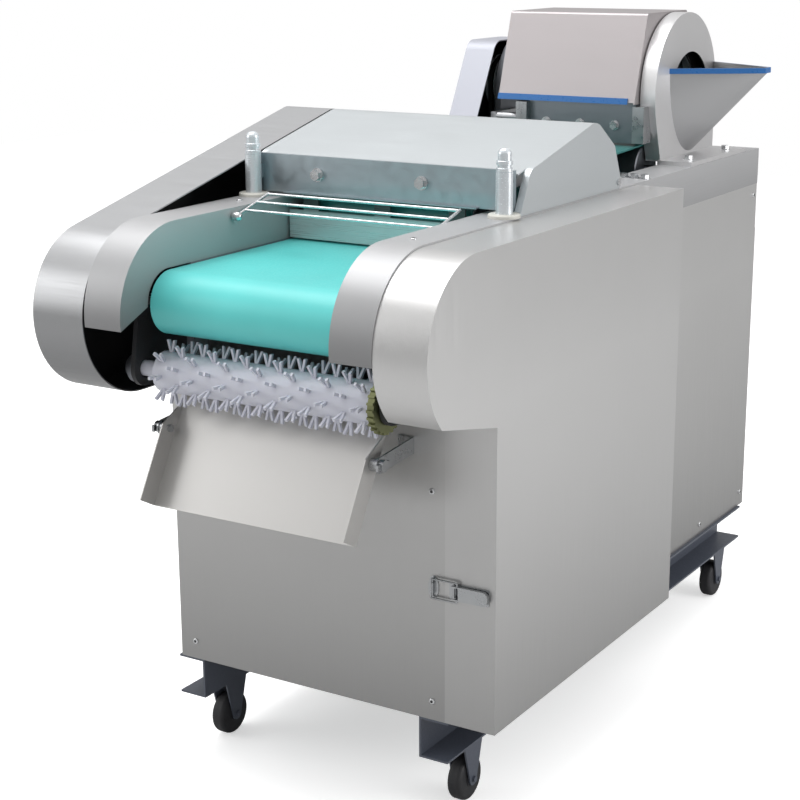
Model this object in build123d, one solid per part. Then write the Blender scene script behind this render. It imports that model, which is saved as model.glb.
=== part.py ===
from build123d import *
import math
import os

# Vegetable cutting machine, millimetres, +Z up, +Y from the discharge end to the feed end.
# While it is drawn, x = 0 is the middle of the belt, y = 0 the front panel and z = 0 the floor.

# Sheet metal and clearances
sheet = 2.0
running_gap = 0.05
drum_gap = 0.3
panel_gap = 0.3

# Body
body_half_width = 257.5
body_length = 1262.0
panel_bottom = 176.0
deck_height = 932.0
beam_depth = 71.0
beam_width = 70.5
front_panel_top = 655.0
rear_panel_top = 770.0
panel_return = 20.0

# Rails, wheels and inner frame
rail_height = 69.0
rail_flange = 52.0
rail_inset = 5.5
rail_length = 1235.0
rail_wall = 3.5
tube_size = 40.0
tube_wall = 3.0
wheel_radius = 37.5
wheel_width = 25.0
wheel_hub_radius = 14.0
axle_radius = 5.0
fork_wall = 3.0
fork_width = 58.0
fork_gap = 2.0
fork_eye_radius = 11.0
axle_overhang = 4.0
front_wheel_y = 98.0
rear_wheel_y = 1150.0

# Side beam nose and conveyor
nose_y = -62.0
nose_radius = 137.0
tip_height = 782.0
drum_y = -82.0
belt_radius = 50.0
belt_thickness = 3.0
belt_gap = 2.0
belt_half_width = 184.0
rear_drum_y = 1150.0
shaft_radius = 12.5
bearing_radius = 24.0
bearing_depth = 12.0
arm_wall = 8.0
bed_gap = 1.0
slider_wall = 3.0
hanger_wall = 6.0
hanger_half_width = 40.0
hanger_reach = 35.0
shaft_hole_gap = 2.0
arm_margin = 4.0

# Right drive cover
cover_width = 87.5
cover_length = 664.0
cover_drop = 3.0
cover_nose_radius = 136.0
cover_land = 30.0
screw_radius = 5.0
screw_height = 2.5
front_screw_inset = 22.5
front_screw_left_inset = 30.5
front_screw_low = 31.0
front_screw_high = 372.0
side_screw_inset = 22.0
side_screw_low = 30.0
side_screw_y = 1020.0
side_screw_lead = 60.0
deck_screw_x = 222.0
deck_screw_left_y = 150.0
deck_screw_right_y = -30.0

# Left drive cover
pod_width = 100.0
pod_gap = 4.5
pod_nose_y = -67.0
pod_nose_radius = 132.0
pod_end_y = 620.0
stud_radius = 6.0
stud_height = 720.0
stud_first_y = 300.0
stud_last_y = 560.0

# Hood and the slope that it shares with the left cover
ridge_y = 482.0
ridge_height = 1052.0
ridge_radius = 45.0
slope_deg = 13.3
hood_front_y = 229.0
hood_front_radius = 24.0
hood_front_lean = 33.0
hood_rear_y = 602.0
hood_rear_lean = 34.0
hood_strip = 12.0
hood_back_rise = 2.2
ridge_crest_shift = 14.0
hinge_notch = 50.0
hood_pin_radius = 6.0
hood_pin_height = 12.0
lug_wall = 6.0

# Knife gate
post_x = 238.0
post_y = 212.0
post_radius = 13.5
post_top = 1002.0
ring_share = 0.18
cap_height = 37.0
cap_radius = 11.0
bush_flange_radius = 25.5
bush_flange_height = 6.0
bush_wall = 3.0
bush_length = 62.0
beam_plate_top = 1002.0
beam_plate_wall = 8.0
beam_lip = 9.0
saddle_height = 22.0
saddle_wall = 4.0
blade_wall = 3.0
blade_clearance = 3.5
blade_side_gap = 3.0
blade_height = 47.5
strap_span = 140.0
strap_width = 30.0
gate_bolt_span = 200.0
gate_bolt_shift = 20.0
gate_bolt_height = 972.0
gate_bolt_radius = 6.0
knife_travel = 35.0

# Knife drive
crosshead_clearance = 4.0
crosshead_depth = 30.0
yoke_width = 96.0
crank_drop = 100.0
crank_pin_radius = 8.0
crank_disc_radius = 34.0
crank_disc_wall = 10.0
yoke_wall = 18.0
yoke_slack = 4.2
yoke_rim = 14.0
journal_gap = 3.0
crank_half_length = 212.0
motor_radius = 75.0
motor_length = 230.0
terminal_half_length = 40.0
terminal_half_width = 35.0
terminal_rise = 28.0
stand_half_length = 60.0
stand_half_width = 18.0
motor_y = 470.0
motor_height = 330.0
pulley_radius = 60.0
small_pulley_radius = 35.0
pulley_width = 20.0
pulley_lip = 2.0
vbelt_inset = 2.6
drive_pulley_x = 150.0
vbelt_thickness = 9.0
vbelt_width = 13.0
vbelt_rise = 1.5

# Press conveyor
press_half_width = 155.0
press_front_y = 292.0
press_front_radius = 38.0
press_rear_y = 930.0
press_rear_radius = 50.0
press_clearance = 10.0
press_shaft_radius = 9.0
press_bearing_radius = 10.5

# Finger roller
roller_y = -100.0
roller_clearance = 6.0
roller_core_radius = 32.0
roller_tip_radius = 51.0
roller_half_length = 198.0
roller_shift = 12.0
finger_rows = 13
finger_count = 8
finger_width = 5.0
finger_thickness = 5.0
finger_spread = 5.5
gear_radius = 40.0
gear_width = 11.0
gear_teeth = 24
tooth_height = 6.0
tooth_width = 4.0
arm_x = 224.0

# Discharge chute
chute_half_width = 189.0
chute_behind = 54.5
chute_below = 40.0
chute_run = 92.5
chute_fall = 169.0
chute_flange = 38.0
chute_flange_length = 124.0
chute_flange_end = 22.0
chute_flange_taper = 2.0
chute_pivot_up = 122.0
chute_pivot_out = 17.0
chute_pin_radius = 6.0
chute_arm_x = 201.0
chute_arm_wall = 3.0
chute_eye_radius = 12.0
chute_sleeve_wall = 4.0
bracket_foot_width = 24.0
bracket_foot_up = 20.0
bracket_foot_down = 6.0
wing_half_length = 16.0
wing_half_height = 5.0
wing_head = 8.0

# Wire guard
guard_pivot_y = 85.0
guard_pivot_height = 918.0
guard_half_width = 181.0
wire_radius = 2.5
guard_reach = 94.0
guard_rise_deg = 16.0
guard_rods = 3
guard_rod_step = 33.0
pivot_radius = 4.0

# Slicing head
housing_face_x = 188.0
housing_depth = 30.0
housing_wall = 3.0
slicer_y = 1038.0
slicer_height = 1061.0
housing_radius = 147.5
housing_foot_front = 923.0
housing_foot_extra = 30.0
sole_wall = 3.0
feed_y = 1056.0
feed_height = 1040.0
feed_radius = 94.0
foot_front = 914.0
foot_rear = 1190.0
foot_wall = 8.0
foot_bolt_x = 230.0
foot_bolt_inset = 45.0
head_bolt_radius = 5.0
head_bolt_head = 6.0
lip_bolt_first_x = -34.0
lip_bolt_pitch = 72.0
lip_bolt_up = 33.0
deck_bolt_y = 722.0
deck_bolt_first_x = 206.0
deck_bolt_pitch = 20.0
plate_x = -162.0
plate_wall = 12.0
plate_radius = 100.0
plate_foot_reach = 105.0
spindle_radius = 15.0
disc_radius = 122.0
disc_wall = 8.0
disc_x = 130.0
disc_boss_length = 14.0
disc_cap_height = 6.0
slot_share = 0.58
slot_turn = 12.0
slicer_knife_turn = 6.0
spindle_short = 0.5
slot_count = 3
slot_length = 84.0
slot_width = 8.0
knife_width = 26.0
knife_wall = 2.5

# Discharge box
box_left_x = -131.0
box_right_x = 156.0
box_bottom = 1046.0
box_top = 1210.0
box_front_y = 868.0
box_top_front_y = 919.0
box_top_rear_y = 1103.0
box_rear_y = 1190.0
trim_height = 11.0
trim_wall = 3.0
box_pin_radius = 5.0
box_hinge_inset = 26.0
box_hinge_up = 14.0
box_corner = 6.0
spindle_notch_gap = 6.0
trim_end_gap = 14.0
lip_front_y = 884.0
lip_wall = 4.0
lip_bottom = 972.0
lip_left_x = -70.0
lip_right_x = 152.0
lip_lap = 2.0
block_width = 23.0
block_front_y = 870.0
block_low_gap = 2.0
block_high_gap = 4.0
tie_radius = 8.0

# Feed hopper
hopper_y = 1064.0
hopper_rim_height = 1108.0
hopper_half_mouth = 108.0
hopper_depth = 164.0
hopper_tip_x = 338.0
hopper_tip_half = 11.0
hopper_wall = 2.0
rim_height = 10.0
rim_wall = 3.0

# Slicer belt guard and motor
guard_left_x = -240.0
guard_right_x = -177.0
guard_top = 1151.0
guard_top_front_y = 975.0
guard_top_rear_y = 1101.0
guard_foot_front_y = 826.0
guard_foot_rear_y = 1132.0
guard_corner = 32.0
guard_front_lean = 33.0
guard_foot_lean = 0.6
slicer_pulley_radius = 55.0
slicer_motor_height = 470.0
slicer_pulley_x = -212.0
slicer_motor_x = -80.0

# Toggle latch
latch_height = 396.0
latch_pivot_x = 276.0
latch_base_length = 58.0
latch_base_height = 26.0
latch_base_back = 10.0
lever_back = 3.0
latch_wall = 1.5
latch_stand = 9.0
lever_length = 62.0
lever_height = 22.0
latch_pin_radius = 2.0
bail_width = 31.0
bail_radius = 1.6
bail_bend = 2.2
strike_x = 238.0
strike_half_width = 9.0
strike_half_height = 19.0
ridge_width = 2.0
ear_half_width = 4.0
ear_gap = 0.5
lever_window = 9.0
latch_pin_depth = 3.0

# Values that follow from the sizes above
beam_bottom = deck_height - beam_depth
beam_inner_x = body_half_width - beam_width
rail_bottom = panel_bottom - rail_height
rail_web_x = body_half_width + rail_inset - rail_flange
drum_height = beam_bottom - belt_gap - belt_radius
roller_height = drum_height - belt_radius - roller_clearance - roller_tip_radius
crosshead_height = drum_height - belt_radius - knife_travel - crosshead_clearance - crosshead_depth
crank_height = crosshead_height - crank_drop
chute_top_y = roller_y + chute_behind
chute_top_height = roller_height - chute_below
chute_bottom_y = chute_top_y - chute_run
chute_bottom_height = chute_top_height - chute_fall
beam_plate_bottom = deck_height + bush_flange_height + 1
cover_top = deck_height - cover_drop
cover_x = body_half_width
pod_x = -body_half_width - pod_gap
slope = math.tan(math.radians(slope_deg))
sill_x = rail_web_x + rail_flange / 2 - 7.0
wheel_x = rail_web_x + rail_flange / 2
belt_top = drum_height + belt_radius
blade_bottom = belt_top + blade_clearance
crest_y = ridge_y + ridge_crest_shift
hood_back_top = deck_height + hood_back_rise * hood_rear_lean
press_shaft_end = beam_inner_x + 1.33 * bearing_depth
housing_foot_rear = 2 * slicer_y - housing_foot_front + housing_foot_extra
foot_top = deck_height + foot_wall
box_hinge_y = box_rear_y - box_hinge_inset
box_hinge_height = box_bottom + box_hinge_up
hinge_y = hood_rear_y - hood_pin_height / hood_back_rise - hood_pin_height + panel_gap
hinge_height = deck_height + hood_pin_height
plate_front_y = post_y + post_radius + saddle_wall
shaft_end = arm_x + arm_wall + bearing_depth * 1.4
hanger_end = beam_inner_x + hanger_wall
latch_pin_y = latch_pin_depth - latch_stand
bail_pin_x = latch_pivot_x + 3 * latch_pin_radius
front_post_y = sheet + tube_size / 2
parts = {}


def block(x, y, z):
    """A box from its spans along X, Y and Z."""
    size = [span[1] - span[0] for span in (x, y, z)]
    middle = [(span[0] + span[1]) / 2 for span in (x, y, z)]
    return Pos(*middle) * Box(*size)


def rod_x(y, z, radius, start, end):
    return Pos((start + end) / 2, y, z) * Rot(0, 90, 0) * Cylinder(radius, end - start)


def rod_y(x, z, radius, start, end):
    return Pos(x, (start + end) / 2, z) * Rot(90, 0, 0) * Cylinder(radius, end - start)


def rod_z(x, y, radius, start, end):
    return Pos(x, y, (start + end) / 2) * Cylinder(radius, end - start)


def prism(face, start, end):
    """A side profile, drawn as (y, z), drawn out along X."""
    return extrude(Plane.YZ.offset(start) * face, amount=end - start, dir=(1, 0, 0))


def group(solids):
    return Compound(children=[solid for item in solids for solid in item.solids()])


def mirrored(shape):
    return mirror(shape, Plane.YZ)


def both_sides(shape):
    return group([shape, mirrored(shape)])


def inset(face, distance):
    return offset(face, amount=-distance, kind=Kind.INTERSECTION)


def hex_bolt(radius, head, plane):
    """A hexagon head on its washer, standing on a plane."""
    washer = extrude(plane * Circle(radius * 1.9), amount=radius * 0.35)
    top = plane.offset(radius * 0.35)
    return washer + extrude(top * RegularPolygon(radius * 1.55, 6), amount=head)


def frame_rails():
    """Two channel rails, open to the outside, under the whole machine."""
    outer = block(
        (rail_web_x, rail_web_x + rail_flange), (0, rail_length), (rail_bottom, panel_bottom)
    )
    inner = block(
        (rail_web_x + rail_wall, rail_web_x + rail_flange + 1),
        (-1, rail_length + 1),
        (rail_bottom + rail_wall, panel_bottom - rail_wall),
    )
    return both_sides(outer - inner)


def tube(x, y, z):
    """A square tube along its longest span, open at both ends."""
    spans = (x, y, z)
    lengths = [span[1] - span[0] for span in spans]
    along = lengths.index(max(lengths))
    bore = [
        (span[0] - 1, span[1] + 1) if axis == along else (span[0] + tube_wall, span[1] - tube_wall)
        for axis, span in enumerate(spans)
    ]
    return block(x, y, z) - block(*bore)


def inner_frame():
    """Sills on the rails, uprights at the corners and cross members between the sills."""
    half = tube_size / 2
    sill_top = panel_bottom + tube_size
    sides = []
    sides.append(tube((sill_x - half, sill_x + half), (sheet, body_length - sheet), (panel_bottom, sill_top)))
    post_ys = (front_post_y, cover_length, body_length - sheet - half)
    for y in post_ys:
        sides.append(tube((sill_x - half, sill_x + half), (y - half, y + half), (sill_top, beam_bottom)))
    inner = sill_x - half
    cross = [
        tube((-inner, inner), (y - half, y + half), (panel_bottom, sill_top))
        for y in (post_ys[0], motor_y, post_ys[1], slicer_y, post_ys[2])
    ]
    return group([both_sides(group(sides))] + cross)


def fork(y):
    """A folded wheel fork: a plate under the rail flange with two tapered legs."""
    inner = wheel_width / 2 + fork_gap
    outer = inner + fork_wall
    plate = block(
        (wheel_x - outer, wheel_x + outer),
        (y - fork_width / 2, y + fork_width / 2),
        (rail_bottom - fork_wall, rail_bottom),
    )
    foot = Pos(y, wheel_radius) * Circle(fork_eye_radius)
    head = Polyline(
        (y - fork_width / 2, rail_bottom - fork_wall),
        (y + fork_width / 2, rail_bottom - fork_wall),
        (y + fork_eye_radius, wheel_radius),
        (y - fork_eye_radius, wheel_radius),
        close=True,
    )
    leg = foot + make_face(head)
    legs = prism(leg, wheel_x + inner, wheel_x + outer) + prism(leg, wheel_x - outer, wheel_x - inner)
    reach = outer + axle_overhang
    return plate + legs + rod_x(y, wheel_radius, axle_radius, wheel_x - reach, wheel_x + reach)


def wheel(x, y):
    """A rubber-tyred wheel, turned about X, with a rounded tread and a raised hub."""
    half = wheel_width / 2
    bore = axle_radius + running_gap
    disc = Pos(y, wheel_radius) * (Circle(wheel_radius) - Circle(bore))
    hub = Pos(y, wheel_radius) * (Circle(wheel_hub_radius) - Circle(bore))
    body = prism(disc, x - half, x + half)
    rims = body.edges().filter_by(GeomType.CIRCLE).sort_by(SortBy.RADIUS)[-2:]
    body = fillet(rims, half * 0.55)
    hub_half = half + fork_gap / 2
    return body + prism(hub, x - hub_half, x + hub_half)


def nose_face(centre, radius, back, top, bottom):
    """The drive cover's side: straight front, 45 degree throat, round nose, level top."""
    y, z = centre
    lean = radius / math.sqrt(2)
    edges = [
        Line((0, bottom), (back, bottom)),
        Line((back, bottom), (back, top)),
        Line((back, top), (y, top)),
        ThreePointArc((y, top), (y - radius, z), (y - lean, z - lean)),
        Line((y - lean, z - lean), (0, z - 2 * lean - y)),
        Line((0, z - 2 * lean - y), (0, bottom)),
    ]
    return make_face(edges)


def right_cover():
    """A sheet-metal box, open to the body, whose nose is closed on both sides."""
    centre = (nose_y, cover_top - cover_nose_radius)
    outer = nose_face(centre, cover_nose_radius, cover_length, cover_top, panel_bottom)
    hollow = inset(outer, sheet)
    shell = prism(outer, cover_x, cover_x + cover_width)
    shell -= prism(hollow, cover_x + sheet, cover_x + cover_width - sheet)
    window = Rectangle(cover_length - 2 * cover_land, deck_height * 2)
    opening = hollow & (Pos(cover_length / 2 + cover_land, deck_height / 2) * window)
    return shell - prism(opening, cover_x - 1, cover_x + sheet + 1)


def side_beam():
    """A folded beam along the deck. Its nose wraps the belt's nose; behind that it is open below."""
    z = deck_height - nose_radius
    wrap = belt_radius + belt_gap
    tip_y = nose_y - math.sqrt(nose_radius**2 - (z - tip_height) ** 2)
    diagonal = nose_radius / math.sqrt(2)
    heel = (drum_y - wrap, drum_height)
    lean = wrap / math.sqrt(2)
    edges = [
        Line((body_length, deck_height), (nose_y, deck_height)),
        ThreePointArc((nose_y, deck_height), (nose_y - diagonal, z + diagonal), (tip_y, tip_height)),
        Line((tip_y, tip_height), heel),
        ThreePointArc(heel, (drum_y - lean, drum_height + lean), (drum_y, beam_bottom)),
        Line((drum_y, beam_bottom), (body_length, beam_bottom)),
        Line((body_length, beam_bottom), (body_length, deck_height)),
    ]
    outer = make_face(edges)
    solid = prism(outer, beam_inner_x, body_half_width)
    solid -= prism(inset(outer, sheet), beam_inner_x + sheet, body_half_width - sheet)
    solid -= block((beam_inner_x + sheet, body_half_width - sheet), (panel_return, body_length - sheet),
                   (beam_bottom - 1, beam_bottom + sheet + 1))
    solid -= rod_z(post_x, post_y, post_radius + running_gap + bush_wall, beam_bottom - 5, deck_height + 5)
    for y, radius in ((press_front_y, press_front_radius), (press_rear_y, press_rear_radius)):
        solid -= rod_x(y, press_axis(radius), press_shaft_radius + 1, beam_inner_x - 1,
                       beam_inner_x + sheet + 1)
    return solid


def press_axis(radius):
    return belt_top + press_clearance + radius


def vbelt_slot():
    """The way through the left deck and foot for the slicer's drive belt."""
    reach = slicer_pulley_radius + vbelt_thickness + 6
    return block(
        (slicer_pulley_x - pulley_width / 2 - 3, slicer_pulley_x + pulley_width / 2 + 3),
        (slicer_y - reach, slicer_y + reach),
        (deck_height - sheet - 1, deck_height + foot_wall + sheet + 1),
    )


def front_panel():
    """The front panel with folded side returns and a folded top."""
    face = block((-body_half_width, body_half_width), (0, sheet), (panel_bottom, front_panel_top))
    side = block(
        (body_half_width - sheet, body_half_width), (0, panel_return), (panel_bottom, front_panel_top)
    )
    inner = sill_x - tube_size / 2
    top = block((-inner, inner), (0, panel_return), (front_panel_top - sheet, front_panel_top))
    return face + side + mirrored(side) + top


def side_panel():
    """A side panel between the front panel's return and the rear panel, up to the beam."""
    return block((body_half_width - sheet, body_half_width), (panel_return, body_length - sheet),
                 (panel_bottom, beam_bottom))


def rear_panel():
    face = block((-body_half_width, body_half_width), (body_length - sheet, body_length),
                 (panel_bottom, rear_panel_top))
    fold = block((-sill_x + tube_size / 2, sill_x - tube_size / 2),
                 (body_length - panel_return, body_length), (rear_panel_top - sheet, rear_panel_top))
    return face + fold


def slope_line(y):
    return ridge_height - (ridge_y - y) * slope


def pod_nose_height():
    """The height of the nose's centre, so that the slope runs into the nose smoothly."""
    return slope_line(pod_nose_y) - pod_nose_radius / math.cos(math.radians(slope_deg))


def pod_face():
    """The left cover's side: round nose, long slope up to the ridge, rounded rear."""
    z = pod_nose_height()
    bottom = (pod_nose_y, z - pod_nose_radius)
    lean = math.radians(slope_deg)
    touch = (pod_nose_y - pod_nose_radius * math.sin(lean), z + pod_nose_radius * math.cos(lean))
    crest = (crest_y, slope_line(crest_y))
    back = (hood_rear_y - hood_rear_lean, hood_back_top)
    edges = [
        ThreePointArc(bottom, (pod_nose_y - pod_nose_radius, z), touch),
        Line(touch, crest),
        Line(crest, back),
        Line(back, (pod_end_y, deck_height)),
        Line((pod_end_y, deck_height), (pod_end_y, bottom[1])),
        Line((pod_end_y, bottom[1]), bottom),
    ]
    face = make_face(edges)
    return fillet(face.vertices().sort_by_distance(Vector(*crest))[0], ridge_radius)


def left_cover():
    """A deep sheet-metal cover over the left drive, open on its inner side."""
    outer = pod_face()
    shell = prism(outer, pod_x - pod_width, pod_x)
    return shell - prism(inset(outer, sheet), pod_x - pod_width + sheet, pod_x + 1)


def hood_face():
    """The hood's side: leaning front, rounded shoulder, slope, ridge and leaning back."""
    shoulder_y = hood_front_y + hood_front_lean
    hull = Polyline(
        (hood_front_y, deck_height + panel_gap),
        (shoulder_y, slope_line(shoulder_y)),
        (crest_y, slope_line(crest_y)),
        (hood_rear_y - hood_rear_lean, hood_back_top),
        (hood_rear_y, deck_height + panel_gap),
        close=True,
    )
    face = make_face(hull)
    crest = Vector(crest_y, slope_line(crest_y))
    face = fillet(face.vertices().sort_by_distance(crest)[0], ridge_radius)
    shoulder = face.vertices().sort_by_distance(Vector(shoulder_y, slope_line(shoulder_y)))[0]
    face = fillet(shoulder, hood_front_radius)
    notch = Rectangle(2 * hinge_notch, 2 * hinge_notch)
    face -= Pos(hinge_y + hinge_notch, hinge_height - hinge_notch) * notch
    return face + Pos(hinge_y, hinge_height) * Circle(hood_pin_height - panel_gap)


def hood():
    """A lift-up hood, open below and behind, with two narrow strips beside the knife gate."""
    outer = hood_face()
    shell = prism(outer, -body_half_width, body_half_width)
    shell -= prism(inset(outer, sheet), -body_half_width + sheet, body_half_width - sheet)
    inner_x = body_half_width - hood_strip
    below = deck_height + sheet + 1
    shell -= block((-body_half_width + sheet, body_half_width - sheet), (hood_front_y - 1, hood_rear_y + 1),
                   (deck_height, below))
    gate = hood_front_y + hood_front_lean + hood_front_radius * 0.6
    shell -= block((-inner_x, inner_x), (hood_front_y - 1, gate), (deck_height, ridge_height))
    brim_y = plate_front_y + beam_plate_wall + blade_wall + 2
    brim = Polyline((brim_y, slope_line(brim_y)), (gate, slope_line(gate)), (gate, slope_line(gate) - sheet),
                    (brim_y, slope_line(brim_y) - sheet), close=True)
    shell += prism(make_face(brim), -inner_x, inner_x)
    back = hood_rear_y - hood_rear_lean - 6
    shell -= block((-body_half_width + sheet, body_half_width - sheet), (back, hood_rear_y + 1),
                   (deck_height, ridge_height))
    hole = rod_x(hinge_y, hinge_height, hood_pin_radius + running_gap, -body_half_width - 1,
                 body_half_width + 1)
    bush = rod_z(post_x, post_y, bush_flange_radius + panel_gap, deck_height - 1,
                 deck_height + bush_flange_height + panel_gap)
    return shell - hole - bush - mirrored(bush)


def hood_hinge():
    """A lug on the deck inside the hood, with the pin that the hood turns on."""
    reach = hood_pin_radius * 1.6
    x = body_half_width - sheet - panel_gap
    face = (Pos(hinge_y, hinge_height) * Circle(reach)) + make_face(
        Polyline((hinge_y - reach, deck_height), (hinge_y + reach, deck_height),
                 (hinge_y + reach, hinge_height), (hinge_y - reach, hinge_height), close=True))
    lug = prism(face, x - lug_wall, x)
    return lug + rod_x(hinge_y, hinge_height, hood_pin_radius, x - lug_wall, body_half_width + 3)


def guide_bush():
    """A flanged bush in the side beam that a guide post slides in."""
    bore = post_radius + running_gap
    tube_part = rod_z(post_x, post_y, bore + bush_wall, deck_height - bush_length, deck_height)
    flange = rod_z(post_x, post_y, bush_flange_radius, deck_height, deck_height + bush_flange_height)
    rim = flange.edges().filter_by(GeomType.CIRCLE).sort_by(Axis.Z)[-1]
    flange = fillet(rim, bush_flange_height * 0.5)
    bush = flange + tube_part
    return bush - rod_z(post_x, post_y, bore, deck_height - bush_length - 1, deck_height + 20)


def guide_post():
    return rod_z(post_x, post_y, post_radius, crosshead_height + crosshead_depth, post_top)


def post_cap():
    """A turned cap nut: a collar with two rings and a domed top."""
    cap = rod_z(post_x, post_y, cap_radius, post_top, post_top + cap_height)
    top = cap.edges().filter_by(GeomType.CIRCLE).sort_by(Axis.Z)[-1]
    cap = fillet(top, cap_radius * 0.85)
    for share in (0.0, 0.3):
        low = post_top + cap_height * share
        ring = rod_z(post_x, post_y, post_radius - 0.5, low, low + cap_height * ring_share)
        cap += chamfer(ring.edges().filter_by(GeomType.CIRCLE), 0.6)
    return cap


def knife_beam():
    """The gate's cross plate with a folded lower lip and saddles that hold the posts."""
    half = post_x + post_radius / 2
    y = plate_front_y
    plate = block((-half, half), (y, y + beam_plate_wall), (beam_plate_bottom, beam_plate_top))
    plate += block((-beam_inner_x + blade_side_gap, beam_inner_x - blade_side_gap), (y - beam_lip, y),
                   (beam_plate_bottom, beam_plate_bottom + sheet))
    z = gate_bolt_height
    saddle = block((post_x - post_radius / 2, half), (post_y, y),
                   (z - saddle_height / 2, z + saddle_height / 2))
    saddle -= rod_z(post_x, post_y, post_radius, z - saddle_height, z + saddle_height)
    return plate + saddle + mirrored(saddle)


def knife_blade():
    """The blade, ground to a bevel along its lower edge, hung from the cross plate by three straps."""
    half = beam_inner_x - blade_side_gap
    y = plate_front_y + beam_plate_wall
    top = blade_bottom + blade_height
    outline = Polyline((y, top), (y + blade_wall, top), (y + blade_wall, blade_bottom + 3 * blade_wall),
                       (y + 0.4, blade_bottom), (y, blade_bottom), close=True)
    blade = prism(make_face(outline), -half, half)
    for x in (-strap_span, 0, strap_span):
        blade += block((x - strap_width / 2, x + strap_width / 2), (y, y + blade_wall),
                       (top - 1, gate_bolt_height))
    return blade


def gate_bolts():
    """Two bolts through the cross plate, set off to the left as they are on the machine."""
    bolts = []
    for x in (-gate_bolt_span / 2, gate_bolt_span / 2):
        plane = Plane(origin=(x - gate_bolt_shift, plate_front_y, gate_bolt_height), z_dir=(0, -1, 0))
        bolts.append(hex_bolt(gate_bolt_radius, gate_bolt_radius * 1.3, plane))
    return group(bolts)


def crosshead():
    """The bar under the belts that joins the posts, with the slotted yoke of the crank."""
    reach = post_x + post_radius
    bar = block((-reach, reach), (post_y - crosshead_depth / 2, post_y + crosshead_depth / 2),
                (crosshead_height, crosshead_height + crosshead_depth))
    throw = knife_travel / 2
    slot_z = crank_height - throw
    slot_half = crank_pin_radius + yoke_slack
    yoke = block((-yoke_wall / 2, yoke_wall / 2), (post_y - yoke_width / 2, post_y + yoke_width / 2),
                 (slot_z - slot_half - yoke_rim, crosshead_height))
    slot = block((-yoke_wall, yoke_wall), (post_y - throw - slot_half, post_y + throw + slot_half),
                 (slot_z - slot_half, slot_z + slot_half))
    return bar + (yoke - slot)


def crankshaft():
    """A built-up crank: two journals, two discs and the pin that runs in the yoke."""
    throw = knife_travel / 2
    gap = yoke_wall / 2 + journal_gap
    side = rod_x(post_y, crank_height, shaft_radius, gap + crank_disc_wall, crank_half_length)
    side += rod_x(post_y, crank_height, crank_disc_radius, gap, gap + crank_disc_wall)
    pin = rod_x(post_y, crank_height - throw, crank_pin_radius, -gap - 2, gap + 2)
    pulley = grooved_pulley(post_y, crank_height, pulley_radius, drive_pulley_x)
    return side + mirrored(side) + pin + pulley


def grooved_pulley(y, z, radius, x):
    """A V-groove pulley about an axis along X."""
    half = pulley_width / 2
    groove = vbelt_width / 2
    rim, floor = radius + pulley_lip, radius - vbelt_thickness
    outline = Polyline((0, -half), (rim, -half), (rim, -groove - 1.5), (floor, -groove + 2),
                       (floor, groove - 2), (rim, groove + 1.5), (rim, half), (0, half), close=True)
    turned = revolve(Plane.XZ * make_face(outline), axis=Axis.Z)
    return Pos(x, y, z) * Rot(0, 90, 0) * turned


def v_belt(x, top, top_radius, bottom, bottom_radius):
    """A plain band round two pulleys, drawn by its outer and inner loops."""

    def loop(grow):
        return make_hull([
            *(Pos(*top) * Circle(top_radius + grow)).edges(),
            *(Pos(*bottom) * Circle(bottom_radius + grow)).edges(),
        ])

    band = loop(vbelt_rise) - loop(panel_gap - vbelt_thickness)
    half = vbelt_width / 2 - vbelt_inset
    return prism(band, x - half, x + half)


def motor(x, y, z, pulley_x):
    """A motor along X with cooling fins, a terminal box, its shaft and a pulley."""
    body = rod_x(y, z, motor_radius * 0.93, x - motor_length / 2, x + motor_length / 2)
    fin_band = Circle(motor_radius) - Circle(motor_radius * 0.9)
    slots = PolarLocations(motor_radius, 12) * Rectangle(motor_radius * 0.3, motor_radius * 0.18)
    fins = prism(Pos(y, z) * (fin_band - slots), x - motor_length * 0.35, x + motor_length * 0.35)
    box = block((x - terminal_half_length, x + terminal_half_length),
                (y - terminal_half_width, y + terminal_half_width),
                (z + motor_radius * 0.8, z + motor_radius + terminal_rise))
    shaft = rod_x(y, z, shaft_radius, min(x, pulley_x), max(x, pulley_x))
    return body + fins + box + shaft + grooved_pulley(y, z, small_pulley_radius, pulley_x)


def motor_stand(x, y, z):
    """A saddle on the cross member that a motor is strapped to."""
    web = block((x - stand_half_length, x + stand_half_length), (y - stand_half_width, y + stand_half_width),
                (panel_bottom + tube_size, z - motor_radius * 0.8))
    return web - rod_x(y, z, motor_radius, x - motor_length, x + motor_length)


def belt_loop(y0, z0, r0, y1, z1, r1, half_width):
    outer = make_hull([*(Pos(y0, z0) * Circle(r0)).edges(), *(Pos(y1, z1) * Circle(r1)).edges()])
    inner = make_hull([
        *(Pos(y0, z0) * Circle(r0 - belt_thickness)).edges(),
        *(Pos(y1, z1) * Circle(r1 - belt_thickness)).edges(),
    ])
    return prism(outer - inner, -half_width, half_width)


def drum(y, z, radius, half_width, shaft_reach, shaft=shaft_radius):
    """A belt drum with a rounded rim and its through shaft."""
    shell_radius = radius - belt_thickness - drum_gap
    body = rod_x(y, z, shell_radius, -half_width, half_width)
    ends = body.edges().filter_by(GeomType.CIRCLE)
    return chamfer(ends, 2) + rod_x(y, z, shaft, -shaft_reach, shaft_reach)


def bearing(x, y, z, direction, shaft=shaft_radius, flange=bearing_radius):
    """A flanged bearing that carries a shaft end, with its face on the wall at x."""
    start, end = sorted((x, x + direction * bearing_depth))
    hub_start, hub_end = sorted((x, x + direction * bearing_depth * 1.6))
    plate = rod_x(y, z, flange, start, end)
    plate += rod_x(y, z, (shaft + flange) / 2, hub_start, hub_end)
    return plate - rod_x(y, z, shaft + running_gap, hub_start - 1, hub_end + 1)


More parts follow.
